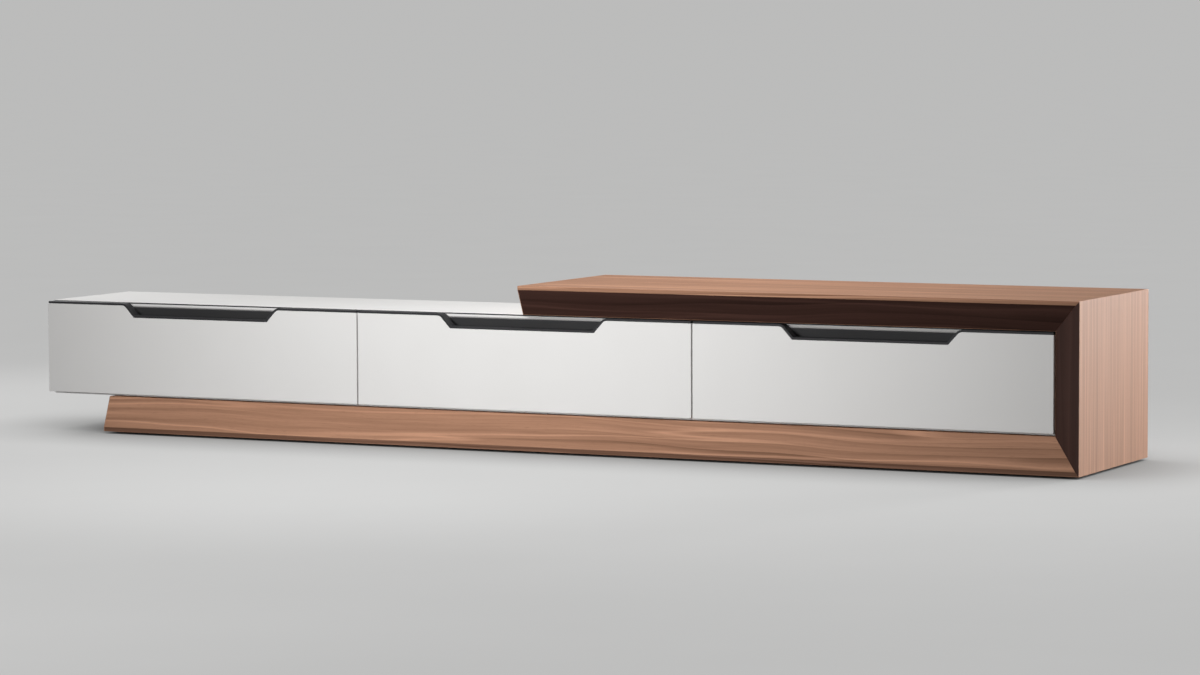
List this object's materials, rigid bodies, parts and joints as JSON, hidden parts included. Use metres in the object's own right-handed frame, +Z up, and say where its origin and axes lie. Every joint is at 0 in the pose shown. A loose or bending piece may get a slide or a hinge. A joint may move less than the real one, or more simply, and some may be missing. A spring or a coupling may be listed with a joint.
{
  "type": "media console",
  "caption": "Low media console: a white drawer case with notched finger pulls, held in a mitred, bevelled walnut frame that wraps its base, one end and part of its top.",
  "frame": {"origin": "on the floor, below the middle of the console's overall box", "axes": "+X along the length, towards the closed walnut end; +Y to the back, so the drawers open along -Y; +Z up"},
  "size_m": [2.4, 0.412, 0.348],
  "materials": {
    "walnut": "walnut veneer, satin, grain following the wrap",
    "lacquer": "white satin lacquer on fibreboard",
    "charcoal": "charcoal powder coat on aluminium sheet",
    "box_ply": "clear matt lacquer on birch plywood",
    "steel": "bright zinc plate",
    "glide": "black moulded plastic"
  },
  "bodies": {
    "cabinet": {"frame_base": "walnut", "frame_side": "walnut", "frame_top": "walnut", "frame_base_tongue": "box_ply", "frame_top_tongue": "box_ply", "base_glide_front_left": "glide", "base_glide_front_middle": "glide", "base_glide_front_right": "glide", "base_glide_rear_left": "glide", "base_glide_rear_middle": "glide", "base_glide_rear_right": "glide", "case_top": "lacquer", "case_bottom": "lacquer", "case_left_side": "lacquer", "case_right_side": "lacquer", "case_divider_left": "lacquer", "case_divider_right": "lacquer", "case_back": "lacquer", "finger_rail_left": "charcoal", "finger_rail_middle": "charcoal", "finger_rail_right": "charcoal", "slide_left_left_cabinet_member": "steel", "slide_left_right_cabinet_member": "steel", "slide_middle_left_cabinet_member": "steel", "slide_middle_right_cabinet_member": "steel", "slide_right_left_cabinet_member": "steel", "slide_right_right_cabinet_member": "steel"},
    "drawer_left": {"drawer_left_front": "lacquer", "drawer_left_pull_trim": "charcoal", "drawer_left_box_front": "box_ply", "drawer_left_box_left": "box_ply", "drawer_left_box_right": "box_ply", "drawer_left_box_back": "box_ply", "drawer_left_box_bottom": "box_ply", "slide_left_left_drawer_member": "steel", "slide_left_right_drawer_member": "steel"},
    "drawer_middle": {"drawer_middle_front": "lacquer", "drawer_middle_pull_trim": "charcoal", "drawer_middle_box_front": "box_ply", "drawer_middle_box_left": "box_ply", "drawer_middle_box_right": "box_ply", "drawer_middle_box_back": "box_ply", "drawer_middle_box_bottom": "box_ply", "slide_middle_left_drawer_member": "steel", "slide_middle_right_drawer_member": "steel"},
    "drawer_right": {"drawer_right_front": "lacquer", "drawer_right_pull_trim": "charcoal", "drawer_right_box_front": "box_ply", "drawer_right_box_left": "box_ply", "drawer_right_box_right": "box_ply", "drawer_right_box_back": "box_ply", "drawer_right_box_bottom": "box_ply", "slide_right_left_drawer_member": "steel", "slide_right_right_drawer_member": "steel"},
    "carriage_left": {"slide_left_left_middle_member": "steel", "slide_left_right_middle_member": "steel"},
    "carriage_middle": {"slide_middle_left_middle_member": "steel", "slide_middle_right_middle_member": "steel"},
    "carriage_right": {"slide_right_left_middle_member": "steel", "slide_right_right_middle_member": "steel"}
  },
  "joints": [
    {"name": "drawer_left_slide", "type": "slide", "parent": "cabinet", "child": "drawer_left", "axis": [0, -1, 0], "range_m": [0, 0.25]},
    {"name": "drawer_middle_slide", "type": "slide", "parent": "cabinet", "child": "drawer_middle", "axis": [0, -1, 0], "range_m": [0, 0.25]},
    {"name": "drawer_right_slide", "type": "slide", "parent": "cabinet", "child": "drawer_right", "axis": [0, -1, 0], "range_m": [0, 0.25]},
    {"name": "carriage_left_slide", "type": "slide", "parent": "cabinet", "child": "carriage_left", "axis": [0, -1, 0], "range_m": [0, 0.125]},
    {"name": "carriage_middle_slide", "type": "slide", "parent": "cabinet", "child": "carriage_middle", "axis": [0, -1, 0], "range_m": [0, 0.125]},
    {"name": "carriage_right_slide", "type": "slide", "parent": "cabinet", "child": "carriage_right", "axis": [0, -1, 0], "range_m": [0, 0.125]}
  ],
  "couplings": [
    {"joint": "carriage_left_slide", "follows": "drawer_left_slide", "ratio": 0.5},
    {"joint": "carriage_middle_slide", "follows": "drawer_middle_slide", "ratio": 0.5},
    {"joint": "carriage_right_slide", "follows": "drawer_right_slide", "ratio": 0.5}
  ]
}
